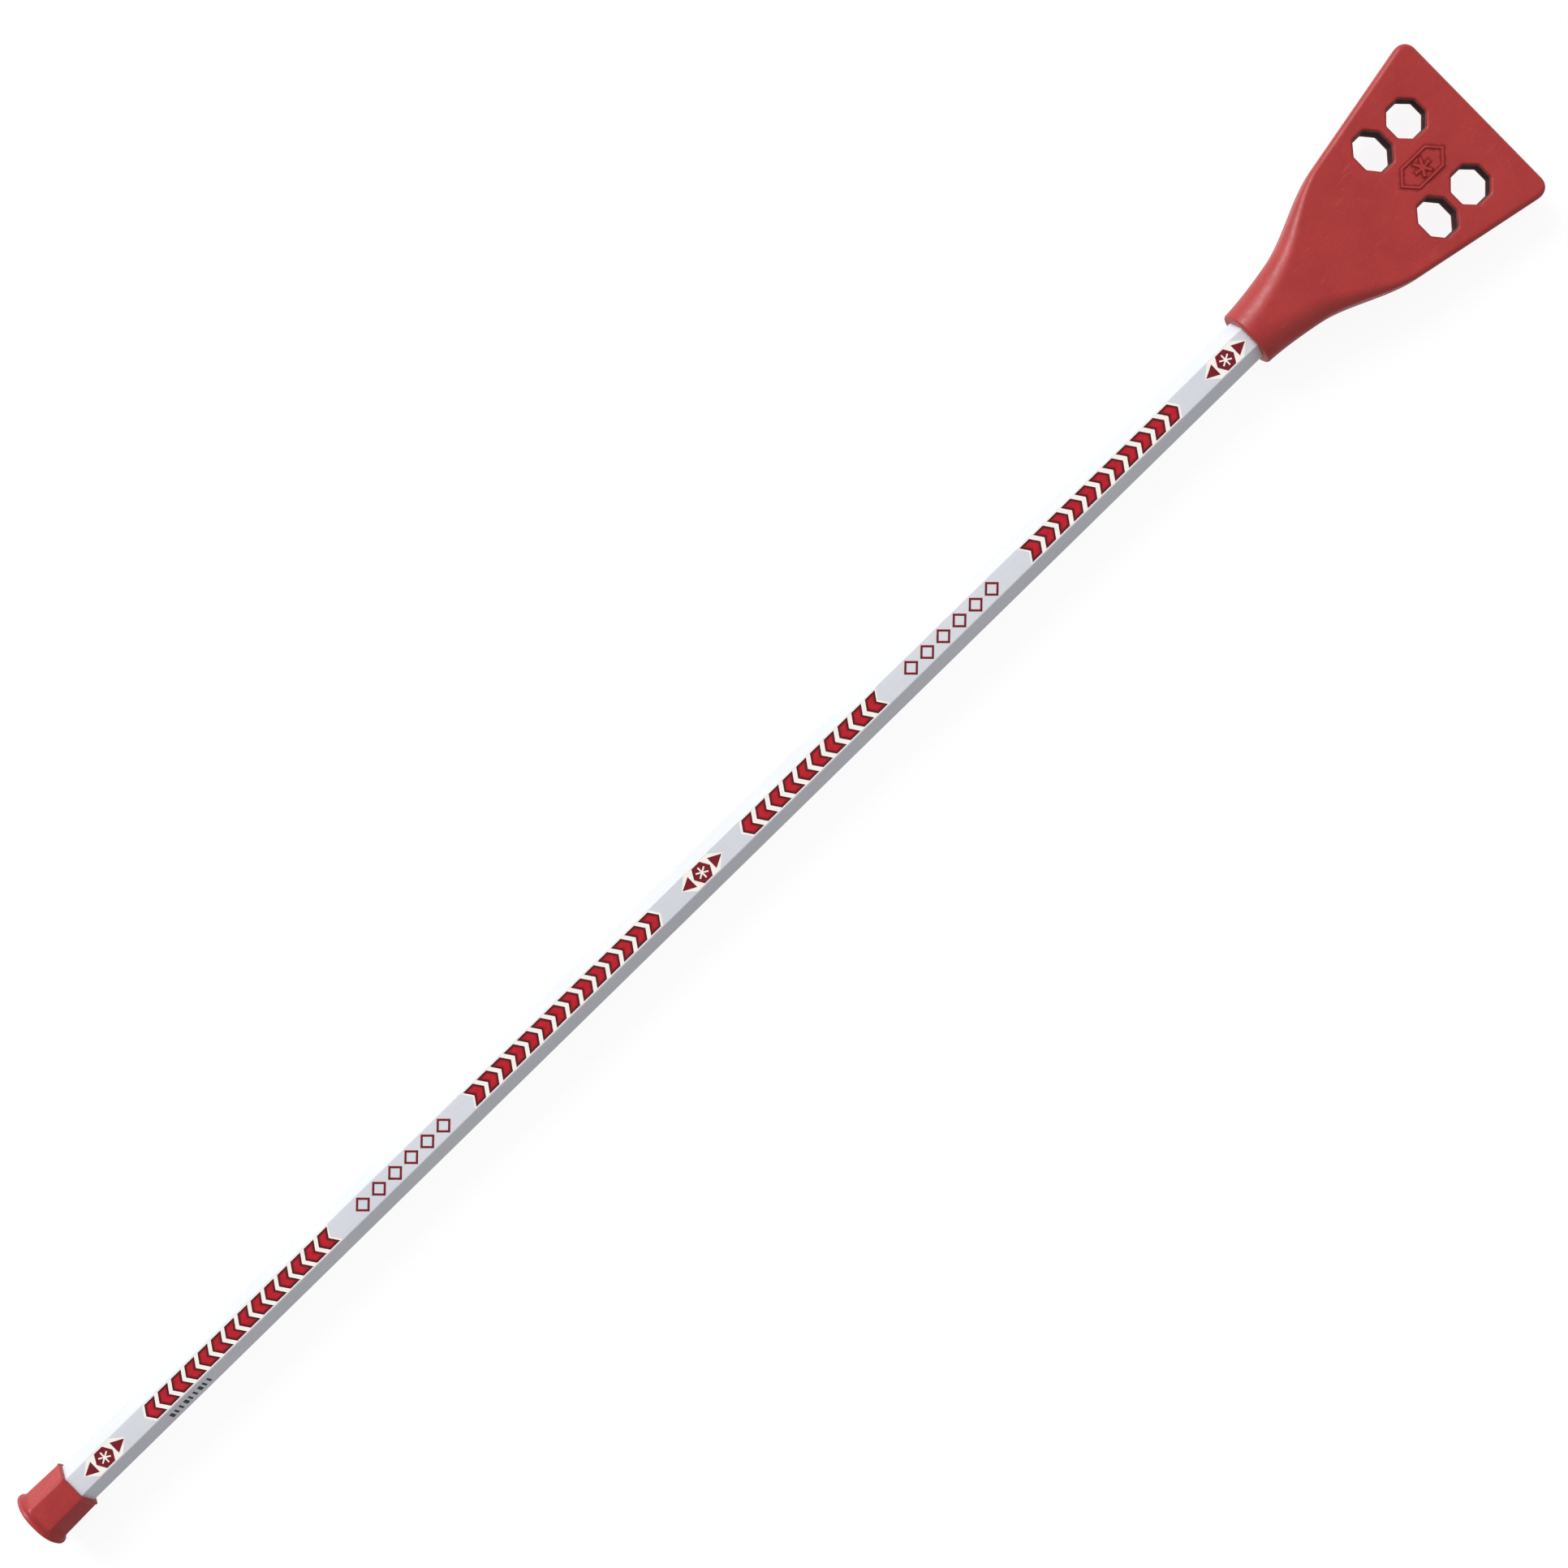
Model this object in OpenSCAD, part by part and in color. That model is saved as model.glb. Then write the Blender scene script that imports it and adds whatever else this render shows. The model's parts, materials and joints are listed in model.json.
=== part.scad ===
// Broomball stick: a hexagonal aluminium tube with a moulded fan-shaped head on one end
// and a rubber butt cap on the other. It lies on its back on the ground.
// +X runs from the butt to the toe of the head, +Y across the blade and +Z up through its
// front face. The origin is on the ground, under the middle of the stick's length.

/* [Stick] */
// Overall length from the butt to the toe of the head
stick_l = 1346; // [1200:1:1350]

/* [Shaft] */
// Distance across the corners of the hexagonal tube
tube_across = 31.2; // [29:0.1:33]
// Wall thickness of the tube
tube_wall = 1.6; // [1.2:0.1:2]
// Radius of the tube's long outer corners
tube_corner_r = 1.2; // [0.8:0.1:2]

/* [Head] */
// Length from the mouth of the ferrule to the toe
head_l = 216.5; // [200:0.5:230]
// Width that the straight sides would reach at the toe if its corners were square
toe_w = 143; // [126:0.2:150]
// Full width at the mouth of the ferrule
mouth_w = 42.5; // [41.5:0.5:46]
// Thickness of the blade at its toe
toe_t = 11; // [9:0.5:14]
// Thickness of the blade at the holes nearest the ferrule
hole_t = 19; // [16:0.5:22]
// Radius of the two toe corners, seen from the front
toe_corner_r = 11; // [6:0.5:16]
// Depth of the socket that the tube is driven into
socket_l = 62; // [50:1:66]
// Distance of each row of holes from the centre line
hole_y = 30.8; // [29:0.2:33]

/* [Butt cap] */
// Overall length of the cap
cap_l = 36; // [30:1:45]
// Distance across the corners at the cap's mouth
cap_mouth_across = 37.4; // [36.5:0.1:40]
// Distance across the corners where the cap's body meets its flange
cap_foot_across = 38.8; // [38:0.1:42]
// Thickness of the closed end
cap_floor = 5; // [4:0.5:8]

/* [Fixings] */
// Length of the hexagonal timber plug in the head end of the tube
plug_l = 56; // [44:1:60]
// Distances of the two screws from the mouth of the ferrule
screw_first = 18; // [14:1:22]
screw_second = 44; // [38:1:50]
// Outer diameter of the screw thread
screw_d = 4.8; // [4:0.1:5]

/* [Graphics] */
// Thickness of one layer of transfer film
film_t = 0.1; // [0.08:0.01:0.15]
// Height of a red chevron across the shaft
chevron_h = 12.8; // [11:0.1:13]
// Length of a chevron's arm along the shaft
chevron_arm = 8.4; // [6:0.1:9]
// Distance that a chevron's point leads its arms
chevron_point = 4.4; // [3:0.1:6]

/* [Hidden] */
$fn = 48;

// Ground to shaft axis: the ferrule's lip and the cap's flange both rest on the ground.
axis_z = 21;

// Hexagons are given by their corner radius. Two of the six flats face up and down.
flat_ratio = cos(30);
tube_r = tube_across / 2;
tube_flat = tube_r * flat_ratio;
bore_r = tube_r - tube_wall / flat_ratio;
fit_gap = 0.05;
socket_r = tube_r + fit_gap / flat_ratio;

head_x = stick_l - head_l;
tube_x0 = cap_floor + 0.5;
tube_x1 = head_x + socket_l - 0.5;

// The head's outline: a flaring ferrule, an S-shaped shoulder, then straight sides to the toe.
shoulder_x0 = 45;
shoulder_x1 = 111.4;
ferrule_w = 53.9;
shoulder_w = 101.8;
flare_power = 1.5;
ferrule_slope = flare_power * (ferrule_w - mouth_w) / 2 / shoulder_x0;
side_slope = (toe_w - shoulder_w) / 2 / (head_l - shoulder_x1);

// The head's thickness: full at the ferrule, easing down to the blade, then a straight taper.
ferrule_t = 42;
ease_x0 = 24;
ease_x1 = 138;
edge_r = 4.2;
toe_edge_r = 3.6;
mouth_edge_r = 1.6;

arc_steps = 8;
mouth_steps = 3;
body_steps = 20;
toe_steps = 6;

// The two holes on each side: [distance from the toe, length along X, width along Y].
hole_plan = [[69.6, 24.4, 29.4], [38.2, 26.4, 27]];

// Pan-head screws, and the recesses that keep their heads off the ground.
screw_head_d = 9.6;
screw_head_h = 3;
recess_depth = 3.6;
recess_d = screw_head_d + 1.2;
screw_l = 26;
screw_core = screw_d - 1.4;
thread_pitch = 1.8;
thread_n = 11;
tip_l = 4;

// The cap's flange is round with six small flats, and its body tapers to a rounded lip.
flange_r = 21.3;
flange_flat = axis_z;
flange_l = 2.6;
flare_l = 3.4;
end_round = 1.4;
cap_corner_r = 2.6;
cap_lip_l = 2.2;
cap_lip_grow = 1.2;

film_z = axis_z + tube_flat;
base_h = chevron_h + 1.4;

// Bands of chevrons: [start, number, pitch, direction that they point].
bands = [
    [103.6, 14, 12.4, -1],
    [404.4, 14, 12.55, 1],
    [658.8, 10, 12.85, -1],
    [921.9, 11, 12.85, 1]
];
emblems = [64.8, 620.5, 1107.5];
diamond_rows = [297.5, 807.5];
diamond_pitch = 15;
diamond_n = 6;
diamond_stroke = 1.5;
emblem_across = 12.8;
emblem_wing = 9;
emblem_l = 36;
ticks_x = 113.5;
ticks_n = 9;
ticks_pitch = 4.3;

// ---- shared shapes ----

function mix(a, b, t) = a + (b - a) * t;
function ease(t) = t * t * (3 - 2 * t);
function clamp01(t) = max(0, min(1, t));

// Corners of a hexagon with its flats up and down, each rounded by an arc of radius r.
function hex_points(corner, r, steps = 4) = [
    for (side = [0 : 5], i = [0 : steps])
        let (a = side * 60, b = a - 30 + 60 * i / steps, c = corner - r / flat_ratio)
        [c * cos(a) + r * cos(b), c * sin(a) + r * sin(b)]
];

// A flat shape drawn in the Y-Z plane and pushed along +X from x0 to x1.
module along_x(x0, x1) {
    translate([x0, 0, axis_z]) rotate([90, 0, 90]) linear_extrude(x1 - x0) children();
}

// Moves a piece measured from the butt end into the shared frame.
module place() {
    translate([-stick_l / 2, 0, 0]) children();
}

module hex_bar(x0, x1, corner, r) {
    along_x(x0, x1) polygon(hex_points(corner, r));
}

// A solid through a row of sections, each a list of the same number of [x, y, z] points.
module loft(sections) {
    n = len(sections[0]);
    last = len(sections) - 1;
    sides = [
        for (s = [0 : last - 1], i = [0 : n - 1], half = [0, 1])
            let (j = (i + 1) % n, a = s * n, b = a + n)
            half == 0 ? [a + i, b + i, b + j] : [a + i, b + j, a + j]
    ];
    ends = [
        [for (i = [0 : n - 1]) i],
        [for (i = [n - 1 : -1 : 0]) last * n + i]
    ];
    polyhedron([for (s = sections) for (p = s) p], concat(sides, ends), convexity = 6);
}

// ---- head ----

// Half-width of the head at a distance x from the ferrule's mouth, without the toe corners.
function head_half(x) =
    x < shoulder_x0 ? mix(mouth_w, ferrule_w, (x / shoulder_x0) ^ flare_power) / 2 :
    x > shoulder_x1 ? shoulder_w / 2 + side_slope * (x - shoulder_x1) :
    let (run = shoulder_x1 - shoulder_x0, t = (x - shoulder_x0) / run)
    (2 * t ^ 3 - 3 * t ^ 2 + 1) * ferrule_w / 2 + (t ^ 3 - 2 * t ^ 2 + t) * run * ferrule_slope
    + (3 * t ^ 2 - 2 * t ^ 3) * shoulder_w / 2 + (t ^ 3 - t ^ 2) * run * side_slope;

// Half-thickness of the head at x, without the rounding of its toe edge.
function head_thick(x) =
    x < ease_x1
    ? mix(ferrule_t, hole_t, ease(clamp01((x - ease_x0) / (ease_x1 - ease_x0)))) / 2
    : mix(hole_t, toe_t, (x - ease_x1) / (head_l - ease_x1)) / 2;

// Radius of a section's four corners: round at the ferrule, a small edge on the blade.
function head_round(x) =
    min(mix(ferrule_t / 2 - 0.6, edge_r, ease(clamp01(x / shoulder_x1))),
        head_thick(x) - 0.2);

// How far an arc of radius r has cut in at a distance d from its end.
function arc_cut(d, r) = d > r ? 0 : r - sqrt(max(0, r * r - (r - d) ^ 2));

function head_section(x) =
    let (
        d = head_l - x,
        mouth = arc_cut(x, mouth_edge_r),
        w = head_half(x) - arc_cut(d, toe_corner_r) - mouth,
        h = head_thick(x) - arc_cut(d, toe_edge_r) - mouth,
        r = min(head_round(x), h - 0.2)
    )
    [
        for (q = [0 : 3], i = [0 : arc_steps])
            let (
                a = 90 * (q + i / arc_steps),
                sy = (q == 0 || q == 3) ? 1 : -1,
                sz = q < 2 ? 1 : -1
            )
            [head_x + x, sy * (w - r) + r * cos(a), axis_z + sz * (h - r) + r * sin(a)]
    ];

// Sections stand closer together at the mouth and the toe, where the outline turns fast.
head_stations = concat(
    [for (i = [0 : mouth_steps]) mouth_edge_r * (1 - cos(90 * i / mouth_steps))],
    [for (i = [1 : body_steps]) mix(mouth_edge_r, head_l - toe_corner_r, i / body_steps)],
    [for (i = [1 : toe_steps]) head_l - toe_corner_r * (1 - sin(90 * i / toe_steps))]
);

// Upright octagon with its flats parallel to X and Y.
module octagon_cut(x, y, length, width) {
    translate([head_x + x, y, 0])
        linear_extrude(2 * axis_z)
            polygon([
                for (i = [0 : 7])
                    let (a = 22.5 + 45 * i)
                    [length / 2 * cos(a) / cos(22.5), width / 2 * sin(a) / cos(22.5)]
            ]);
}

module head() {
    color("firebrick") place() difference() {
        loft([for (x = head_stations) head_section(x)]);
        hex_bar(head_x - 1, head_x + socket_l, socket_r, tube_corner_r);
        for (hole = hole_plan, side = [-1, 1])
            octagon_cut(head_l - hole[0], side * hole_y, hole[1], hole[2]);
        for (x = [screw_first, screw_second]) screw_recess(x);
    }
}

// ---- screws and plug ----

// Height of the surface that a screw head bears on, inside its recess.
function screw_seat(x) = axis_z - head_thick(x) + recess_depth;

// Counterbore and clearance hole in the back of the ferrule, x from its mouth.
module screw_recess(x) {
    seat = screw_seat(x);
    translate([head_x + x, 0, -1]) cylinder(d = recess_d, h = seat + 1);
    translate([head_x + x, 0, seat - 1]) cylinder(d = screw_d + 0.5, h = 10);
}

// Outline of a pan-head wood screw with ring-shaped threads, standing point up.
module screw_outline() {
    polygon(concat(
        [[0, -screw_head_h], [screw_head_d / 2 - 1.6, -screw_head_h]],
        [[screw_head_d / 2 - 0.4, -screw_head_h + 1], [screw_head_d / 2, -0.6]],
        [[screw_head_d / 2, 0], [screw_core / 2, 0]],
        [
            for (i = [0 : thread_n - 1], k = [0, 1, 2])
                let (z = 2 + thread_pitch * (i + k / 2 - (k == 2 ? 0.1 : 0)))
                [k == 1 ? screw_d / 2 : screw_core / 2, z]
        ],
        [[screw_core / 2, screw_l - tip_l], [0, screw_l]]
    ));
}

module head_screw(x) {
    translate([head_x + x, 0, screw_seat(x)]) difference() {
        rotate_extrude() screw_outline();
        for (turn = [0, 90])
            rotate([0, 0, turn])
                translate([-2.6, -0.6, -screw_head_h - 1]) cube([5.2, 1.2, 2.8]);
    }
}

module head_screws() {
    color("silver") place()
        for (x = [screw_first, screw_second]) head_screw(x);
}

// A hole for a screw through the tube's lower wall or the plug.
module pilot_hole(x, z0, z1) {
    translate([x, 0, z0]) cylinder(d = screw_d + 0.06, h = z1 - z0);
}

module shaft_plug() {
    color("burlywood") place() difference() {
        hex_bar(tube_x1 - plug_l, tube_x1 - 1, bore_r - fit_gap / flat_ratio, 0.4);
        for (x = [screw_first, screw_second])
            pilot_hole(head_x + x, 0, screw_seat(x) + screw_l + 1);
    }
}

// ---- shaft ----

module shaft_tube() {
    color("gainsboro") place() difference() {
        hex_bar(tube_x0, tube_x1, tube_r, tube_corner_r);
        hex_bar(tube_x0 - 1, tube_x1 + 1, bore_r, 0.4);
        for (x = [screw_first, screw_second]) pilot_hole(head_x + x, 0, axis_z);
    }
}

// ---- butt cap ----

// Hexagonal section of the cap's body at x from the butt end.
function cap_section(x, corner) = [
    for (p = hex_points(corner, cap_corner_r)) [x, p[0], axis_z + p[1]]
];

module cap_body() {
    loft([
        cap_section(flange_l, cap_foot_across / 2 + 0.4),
        cap_section(flange_l + flare_l, cap_foot_across / 2),
        cap_section(cap_l - cap_lip_l, cap_mouth_across / 2),
        cap_section(cap_l - cap_lip_l / 2, (cap_mouth_across + cap_lip_grow) / 2),
        cap_section(cap_l, (cap_mouth_across + cap_lip_grow * 0.6) / 2)
    ]);
}

// Round flange with rounded rims, cut to six small flats so that the stick can't roll.
module cap_flange() {
    intersection() {
        translate([0, 0, axis_z]) rotate([90, 0, 90]) rotate_extrude() polygon(concat(
            [[0, 0]],
            [
                for (i = [0 : 4])
                    [flange_r - end_round + end_round * sin(22.5 * i),
                     end_round * (1 - cos(22.5 * i))]
            ],
            [[flange_r, flange_l], [cap_foot_across / 2 * flat_ratio, flange_l + flare_l]],
            [[0, flange_l + flare_l]]
        ));
        hex_bar(-1, cap_l, flange_flat / flat_ratio, 1);
    }
}

module butt_cap() {
    color("indianred") place() difference() {
        union() {
            cap_flange();
            cap_body();
        }
        hex_bar(cap_floor, cap_l + 1, socket_r, tube_corner_r);
    }
}

// ---- graphics ----

// A flat film on the shaft's upper face. level 0 lies on the paint, level 1 on level 0.
module film(level) {
    place() translate([0, 0, film_z + level * film_t]) linear_extrude(film_t) children();
}

// Outline of one chevron that starts at x and points along dir (1 or -1).
function chevron(x, dir, arm, h, point) =
    let (tail = dir > 0 ? x : x + arm + point)
    [for (p = [[0, -1], [arm, -1], [arm + point, 0], [arm, 1], [0, 1], [point, 0]])
        [tail + dir * p[0], p[1] * h / 2]];

function band_l(band) = (band[1] - 1) * band[2] + chevron_arm + chevron_point;

module chevron_print(i) {
    band = bands[i];
    color("crimson") film(1)
        for (k = [0 : band[1] - 1])
            polygon(chevron(band[0] + k * band[2], band[3], chevron_arm, chevron_h, chevron_point));
}

// The pale band under a row of chevrons shows between them and as a thin border.
module chevron_base(i) {
    band = bands[i];
    border = 1.6;
    arm = band_l(band) - chevron_point + 2 * border;
    color("seashell") film(0)
        polygon(chevron(band[0] - border, band[3], arm, base_h, chevron_point));
}

// A hexagon between two outward-pointing triangles, with a six-armed star left clear in it.
module emblem_print(x) {
    color("maroon") film(1) translate([x, 0]) {
        difference() {
            polygon(hex_points(emblem_across / 2 / flat_ratio, 0.6));
            for (a = [30, 90, 150])
                rotate(a) square([emblem_across * 0.68, 1.1], center = true);
        }
        for (dir = [-1, 1])
            polygon([
                [dir * (emblem_l / 2 - emblem_wing), emblem_across * 0.36],
                [dir * (emblem_l / 2), 0],
                [dir * (emblem_l / 2 - emblem_wing), -emblem_across * 0.36]
            ]);
    }
}

module emblem_base(x) {
    half = emblem_l / 2 + 1;
    color("seashell") film(0) translate([x, 0])
        polygon([for (p = [[1, 0], [0.55, 1], [-0.55, 1], [-1, 0], [-0.55, -1], [0.55, -1]])
            [p[0] * half, p[1] * base_h / 2]]);
}

function diamond(x, half_l, half_h) = [
    [x - half_l, 0], [x, half_h], [x + half_l, 0], [x, -half_h]
];

module diamond_row(x0) {
    half_l = diamond_pitch / 2 - 1;
    half_h = chevron_h / 2;
    color("maroon") film(0)
        for (k = [0 : diamond_n - 1])
            let (x = x0 + diamond_pitch * (k + 0.5))
            difference() {
                polygon(diamond(x, half_l, half_h));
                polygon(diamond(x, half_l - diamond_stroke * 1.4, half_h - diamond_stroke * 1.4));
            }
}

// Plain bars on the sloping face that looks towards -Y.
module size_ticks() {
    color("dimgray") place()
        translate([0, 0, axis_z]) rotate([60, 0, 0]) translate([0, 0, tube_flat])
            linear_extrude(film_t)
                for (k = [0 : ticks_n - 1])
                    translate([ticks_x + k * ticks_pitch, -3]) square([k % 3 == 0 ? 2.6 : 1.6, 6]);
}

// ---- parts ----

head();
head_screws();
shaft_plug();
shaft_tube();
butt_cap();
emblem_base(emblems[0]);  // emblem_base_butt
emblem_base(emblems[1]);  // emblem_base_mid
emblem_base(emblems[2]);  // emblem_base_head
emblem_print(emblems[0]);  // emblem_print_butt
emblem_print(emblems[1]);  // emblem_print_mid
emblem_print(emblems[2]);  // emblem_print_head
chevron_base(0);  // chevron_base_1
chevron_base(1);  // chevron_base_2
chevron_base(2);  // chevron_base_3
chevron_base(3);  // chevron_base_4
chevron_print(0);  // chevron_print_1
chevron_print(1);  // chevron_print_2
chevron_print(2);  // chevron_print_3
chevron_print(3);  // chevron_print_4
diamond_row(diamond_rows[0]);  // diamond_row_1
diamond_row(diamond_rows[1]);  // diamond_row_2
size_ticks();
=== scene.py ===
"""Broomball stick: the looks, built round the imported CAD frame.

Shapes are worked out in millimetres, along the stick (x), across it (y) and up (z), with y and z
measured from the shaft's axis. They turn into metres in the shared frame when a piece is made.
Materials, the stage and the camera are in metres.
"""

import json
import math

import bmesh
import bpy
import numpy as np
from mathutils import Matrix, Vector, geometry


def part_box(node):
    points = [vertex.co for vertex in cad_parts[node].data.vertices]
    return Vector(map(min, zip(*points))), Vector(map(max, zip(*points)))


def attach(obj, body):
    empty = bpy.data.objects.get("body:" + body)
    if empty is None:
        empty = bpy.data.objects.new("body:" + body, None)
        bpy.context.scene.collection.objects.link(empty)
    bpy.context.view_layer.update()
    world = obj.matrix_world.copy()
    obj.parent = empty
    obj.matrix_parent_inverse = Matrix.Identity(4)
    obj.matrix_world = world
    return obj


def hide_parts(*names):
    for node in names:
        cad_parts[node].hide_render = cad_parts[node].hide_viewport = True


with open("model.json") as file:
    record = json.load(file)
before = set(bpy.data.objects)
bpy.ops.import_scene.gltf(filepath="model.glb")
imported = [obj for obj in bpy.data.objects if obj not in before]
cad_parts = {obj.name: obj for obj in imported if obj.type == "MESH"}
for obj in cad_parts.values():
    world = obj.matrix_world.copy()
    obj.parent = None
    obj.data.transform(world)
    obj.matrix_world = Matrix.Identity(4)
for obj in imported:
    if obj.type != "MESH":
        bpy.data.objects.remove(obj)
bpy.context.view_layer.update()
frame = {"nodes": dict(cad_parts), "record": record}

MM = 0.001
STICK = "stick"
CAP = "cap"

TUBE_LO, TUBE_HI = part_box("shaft_tube")
HEAD_LO, HEAD_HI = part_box("head")
CAP_LO, CAP_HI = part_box("butt_cap")
AXIS_Z = (TUBE_LO.z + TUBE_HI.z) / 2
TUBE_FLAT = (TUBE_HI.z - TUBE_LO.z) / 2 / MM
SOCKET_GAP = 0.05

# ---- small maths ----


def mix(a, b, t):
    """The number a share t of the way from a to b."""
    return a + (b - a) * t


def ease(t):
    """A smooth step from 0 to 1."""
    t = min(1.0, max(0.0, t))
    return t * t * (3 - 2 * t)


def arc_cut(distance, radius):
    """How far a rounding of this radius has cut in at a distance from its end."""
    if distance > radius:
        return 0.0
    return radius - math.sqrt(max(0.0, radius**2 - (radius - distance) ** 2))


def quarter(steps):
    """Angles from 0 to a quarter turn."""
    return [math.pi / 2 * i / steps for i in range(steps + 1)]


def shares(steps):
    """Even shares of a way: the first is one step from its start and the last is its end."""
    return [i / steps for i in range(1, steps + 1)]


# ---- building meshes ----

SHARP_DEG = 38.0
# In metres: points this near each other become one, and edges this short are taken out.
WELD, SHORT_EDGE = 2e-6, 1e-7
# Grid points nearer to a drawn point than this share of the spacing are left out.
CROWDED = 0.62
# In millimetres: points this near each other are one to the triangulation.
TRIANGLES_EPSILON = 1e-6


class Surface:
    """Collects points in millimetres and faces, then makes one object of them."""

    def __init__(self):
        self.points, self.faces = [], []

    def add(self, points, faces):
        start = len(self.points)
        self.points += [tuple(p) for p in points]
        self.faces += [tuple(start + i for i in f) for f in faces]

    def rows(self, rows, closed=False):
        """Quads between neighbouring rows of the same number of points."""
        n = len(rows[0])
        last = n if closed else n - 1
        self.add(
            [p for row in rows for p in row],
            [
                (r * n + i, r * n + (i + 1) % n, (r + 1) * n + (i + 1) % n, (r + 1) * n + i)
                for r in range(len(rows) - 1)
                for i in range(last)
            ],
        )

    def fan(self, ring, centre):
        """Triangles between a closed ring and a point in its middle."""
        n = len(ring)
        self.add([*ring, centre], [(i, (i + 1) % n, n) for i in range(n)])

    def make(self, name, x0):
        """An object whose x starts at x0 (metres), with y and z from the shaft's axis."""
        bm = bmesh.new()
        verts = [bm.verts.new((x0 + x * MM, y * MM, AXIS_Z + z * MM)) for x, y, z in self.points]
        for f in self.faces:
            corners = [verts[i] for i in f]
            if bm.faces.get(corners) is None:
                bm.faces.new(corners)
        bmesh.ops.remove_doubles(bm, verts=bm.verts, dist=WELD)
        bmesh.ops.dissolve_degenerate(bm, edges=bm.edges, dist=SHORT_EDGE)
        bmesh.ops.recalc_face_normals(bm, faces=bm.faces)
        piece = object_from(bm, name)
        shade(piece)
        return piece


def object_from(bm, name):
    """Turns a bmesh into an object in the scene and frees it."""
    mesh = bpy.data.meshes.new(name)
    bm.to_mesh(mesh)
    bm.free()
    piece = bpy.data.objects.new(name, mesh)
    bpy.context.collection.objects.link(piece)
    return piece


def shade(piece):
    """Smooth shading, with sharp edges where the surface turns by more than SHARP_DEG."""
    piece.data.shade_smooth()
    piece.data.set_sharp_from_angle(angle=math.radians(SHARP_DEG))


def apply_modifiers(piece):
    """Turns the piece's modifiers into its mesh."""
    depsgraph = bpy.context.evaluated_depsgraph_get()
    made = bpy.data.meshes.new_from_object(piece.evaluated_get(depsgraph))
    piece.modifiers.clear()
    piece.data = made


def inside(points, loop):
    """Which of the points lie inside a closed loop, by counting crossings."""
    px, py = points[:, 0], points[:, 1]
    hit = np.zeros(len(points), bool)
    for (x1, y1), (x2, y2) in zip(loop, [*loop[1:], loop[0]]):
        if y1 == y2:
            continue
        crosses = (y1 > py) != (y2 > py)
        hit ^= crosses & (px < (x2 - x1) * (py - y1) / (y2 - y1) + x1)
    return hit


def regions(faces, drawn):
    """Splits faces into groups that meet without crossing a drawn edge."""
    beside = {}
    for i, f in enumerate(faces):
        for edge in zip(f, (*f[1:], f[0])):
            beside.setdefault(tuple(sorted(edge)), []).append(i)
    near = [[] for _ in faces]
    for edge, pair in beside.items():
        if edge not in drawn and len(pair) == 2:
            near[pair[0]].append(pair[1])
            near[pair[1]].append(pair[0])
    seen, groups = set(), []
    for start in range(len(faces)):
        if start in seen:
            continue
        seen.add(start)
        group = [start]
        for i in group:
            fresh = [j for j in near[i] if j not in seen]
            seen.update(fresh)
            group += fresh
        groups.append([faces[i] for i in group])
    return groups


def even_grid(outer, holes, drawn, spacing):
    """Points of an even triangle grid, inside outer, outside holes and clear of drawn points."""
    drawn = np.array(drawn)
    lo, hi = drawn.min(0), drawn.max(0)
    step_y = spacing * math.sqrt(3) / 2
    grid = np.array([
        (x + (row % 2) * spacing / 2, lo[1] + row * step_y)
        for row in range(int((hi[1] - lo[1]) / step_y) + 1)
        for x in np.arange(lo[0], hi[0], spacing)
    ])
    keep = inside(grid, outer)
    for hole in holes:
        keep &= ~inside(grid, hole)
    grid = grid[keep]
    near = np.min(np.linalg.norm(grid[:, None] - drawn[None], axis=2), axis=1)
    return [tuple(p) for p in grid[near > spacing * CROWDED]]


def triangulate(outer, holes, lines=(), spacing=0.0):
    """Triangles that fill outer but not holes and follow lines, with an even grid of points
    between them where a spacing is given. Returns the points and the faces."""
    loops = [outer, *holes, *lines]
    points = [p for loop in loops for p in loop]
    edges = []
    for loop in loops:
        start, n = len(edges), len(loop)
        edges += [(start + i, start + (i + 1) % n) for i in range(n)]
    if spacing:
        points += even_grid(outer, holes, points, spacing)
    verts, links, faces, _, link_sources, _ = geometry.delaunay_2d_cdt(
        [Vector(p) for p in points], edges, [], 0, TRIANGLES_EPSILON
    )
    flat = np.array([tuple(v) for v in verts])
    drawn = {tuple(sorted(link)) for link, source in zip(links, link_sources) if source}
    kept = []
    for region in regions([tuple(f) for f in faces], drawn):
        sizes = [geometry.area_tri(*(Vector(flat[i]) for i in f)) for f in region]
        widest = region[int(np.argmax(sizes))]
        centre = flat[list(widest)].mean(0)[None]
        if inside(centre, outer)[0] and not any(inside(centre, hole)[0] for hole in holes):
            kept += region
    return flat, kept


# ---- outlines ----

CORNER_STEPS = 5
HEX_CORNER_STEPS, HEX_SIDE_STEPS = 6, 4


def corner_normals(corners, i):
    """Outward normals of the two sides that meet at a corner of an anticlockwise polygon."""
    p = Vector(corners[i])
    before = (p - Vector(corners[i - 1])).normalized()
    after = (Vector(corners[(i + 1) % len(corners)]) - p).normalized()
    return Vector((before.y, -before.x)), Vector((after.y, -after.x))


def moved_in(corners, i, distance):
    """Where a corner goes when the two sides that meet there move inwards by a distance."""
    n0, n1 = corner_normals(corners, i)
    half = (n0 + n1).normalized()
    return Vector(corners[i]) - half * (distance / half.dot(n0))


def inset(corners, distance):
    """A closed polygon, given anticlockwise, moved inwards by mitred corners."""
    return [tuple(moved_in(corners, i, distance)) for i in range(len(corners))]


def subdivided(loop, edge):
    """A closed loop with its sides cut into parts of about the length of edge."""
    full = []
    for a, b in zip(loop, [*loop[1:], loop[0]]):
        a, b = Vector(a), Vector(b)
        parts = max(1, round((b - a).length / edge))
        full += [tuple(a.lerp(b, k / parts)) for k in range(parts)]
    return full


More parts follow.
